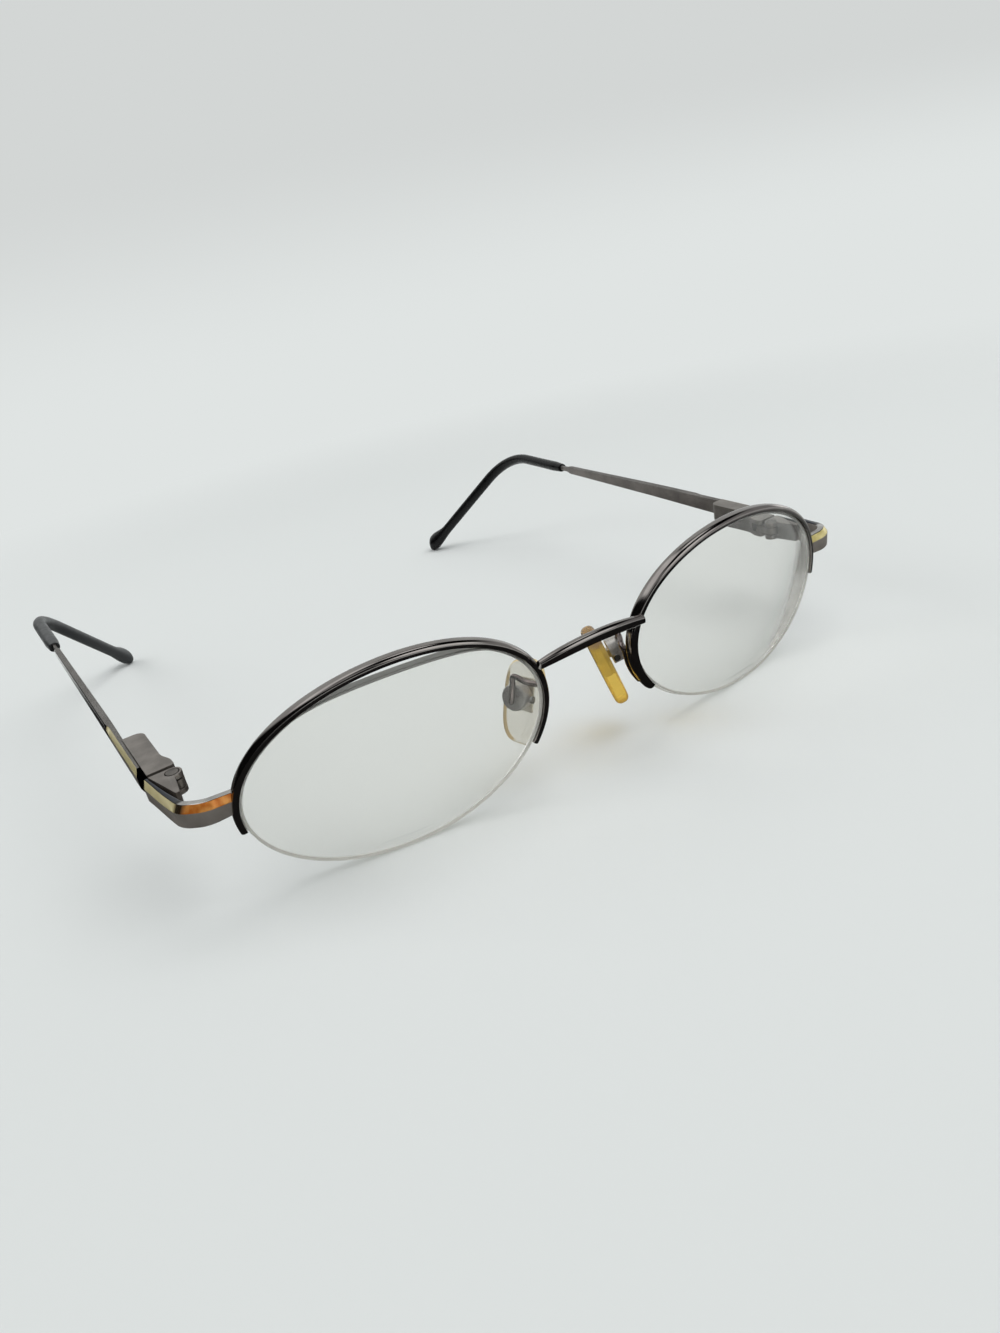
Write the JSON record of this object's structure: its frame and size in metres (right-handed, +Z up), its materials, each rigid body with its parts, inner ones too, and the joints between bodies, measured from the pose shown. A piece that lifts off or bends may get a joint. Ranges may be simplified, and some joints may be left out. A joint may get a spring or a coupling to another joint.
{
  "type": "eyeglasses",
  "caption": "Semi-rimless oval eyeglasses: half rims with nylon cords, screwed nose pads, bevelled endpieces and folding temples on sprung hinges.",
  "frame": {"origin": "on the floor that the folded-out glasses stand on, midway between the lenses and midway between the front and the ends of the temples", "axes": "+X across the face to the right of someone who faces the front, +Y back along the temples, +Z up"},
  "size_m": [0.1376, 0.164, 0.0325],
  "materials": {
    "gunmetal": "polished gunmetal plating",
    "hinge": "satin grey-brown plating",
    "wire": "polished plated wire",
    "steel": "bright turned steel",
    "lens": "polished, clear",
    "nylon": "clear drawn nylon",
    "silicone": "aged translucent silicone",
    "tip": "glossy black acetate"
  },
  "bodies": {
    "front": {"bridge": "gunmetal", "lens_right": "lens", "lens_left": "lens", "rim_right": "gunmetal", "rim_left": "gunmetal", "rim_liner_right": "nylon", "rim_liner_left": "nylon", "nylon_cord_right": "nylon", "nylon_cord_left": "nylon", "endpiece_right": "gunmetal", "endpiece_left": "gunmetal", "pad_arm_right": "wire", "pad_arm_left": "wire", "pad_box_right": "wire", "pad_box_left": "wire", "pad_screw_right": "steel", "pad_screw_left": "steel", "hinge_leaf_right": "hinge", "hinge_leaf_left": "hinge", "hinge_screw_right": "steel", "hinge_screw_left": "steel"},
    "slider_right": {"hinge_slider_right": "hinge", "hinge_bush_right": "steel"},
    "slider_left": {"hinge_slider_left": "hinge", "hinge_bush_left": "steel"},
    "temple_right": {"spring_stop_right": "steel", "hinge_spring_right": "steel", "spring_housing_right": "hinge", "temple_right": "gunmetal", "temple_tip_right": "tip"},
    "temple_left": {"spring_stop_left": "steel", "hinge_spring_left": "steel", "spring_housing_left": "hinge", "temple_left": "gunmetal", "temple_tip_left": "tip"},
    "pad_right": {"nose_pad_right": "silicone", "pad_insert_right": "steel"},
    "pad_left": {"nose_pad_left": "silicone", "pad_insert_left": "steel"}
  },
  "joints": [
    {"name": "temple_fold_right", "type": "hinge", "parent": "front", "child": "slider_right", "pos_m": [0.0617, -0.05534, 0.0181], "axis": [0.0017, -0.0724, 0.9974], "range_deg": [-8, 76]},
    {"name": "temple_fold_left", "type": "hinge", "parent": "front", "child": "slider_left", "pos_m": [-0.0617, -0.05534, 0.0181], "axis": [0.0017, 0.0724, -0.9974], "range_deg": [-8, 92]},
    {"name": "hinge_spring_slide_right", "type": "slide", "parent": "slider_right", "child": "temple_right", "axis": [0.0174, 0.9972, 0.0724], "range_m": [0, 0.0011], "stiffness_N_per_m": 800, "springref_m": -0.0015},
    {"name": "hinge_spring_slide_left", "type": "slide", "parent": "slider_left", "child": "temple_left", "axis": [-0.0174, 0.9972, 0.0724], "range_m": [0, 0.0011], "stiffness_N_per_m": 800, "springref_m": -0.0015},
    {"name": "nose_pad_rock_right", "type": "hinge", "parent": "front", "child": "pad_right", "pos_m": [0.00977, -0.06967, 0.01479], "axis": [0.3665, 0.9167, 0.1592], "range_deg": [-8, 8]},
    {"name": "nose_pad_rock_left", "type": "hinge", "parent": "front", "child": "pad_left", "pos_m": [-0.00977, -0.06967, 0.01479], "axis": [-0.3665, 0.9167, 0.1592], "range_deg": [-8, 8]}
  ]
}
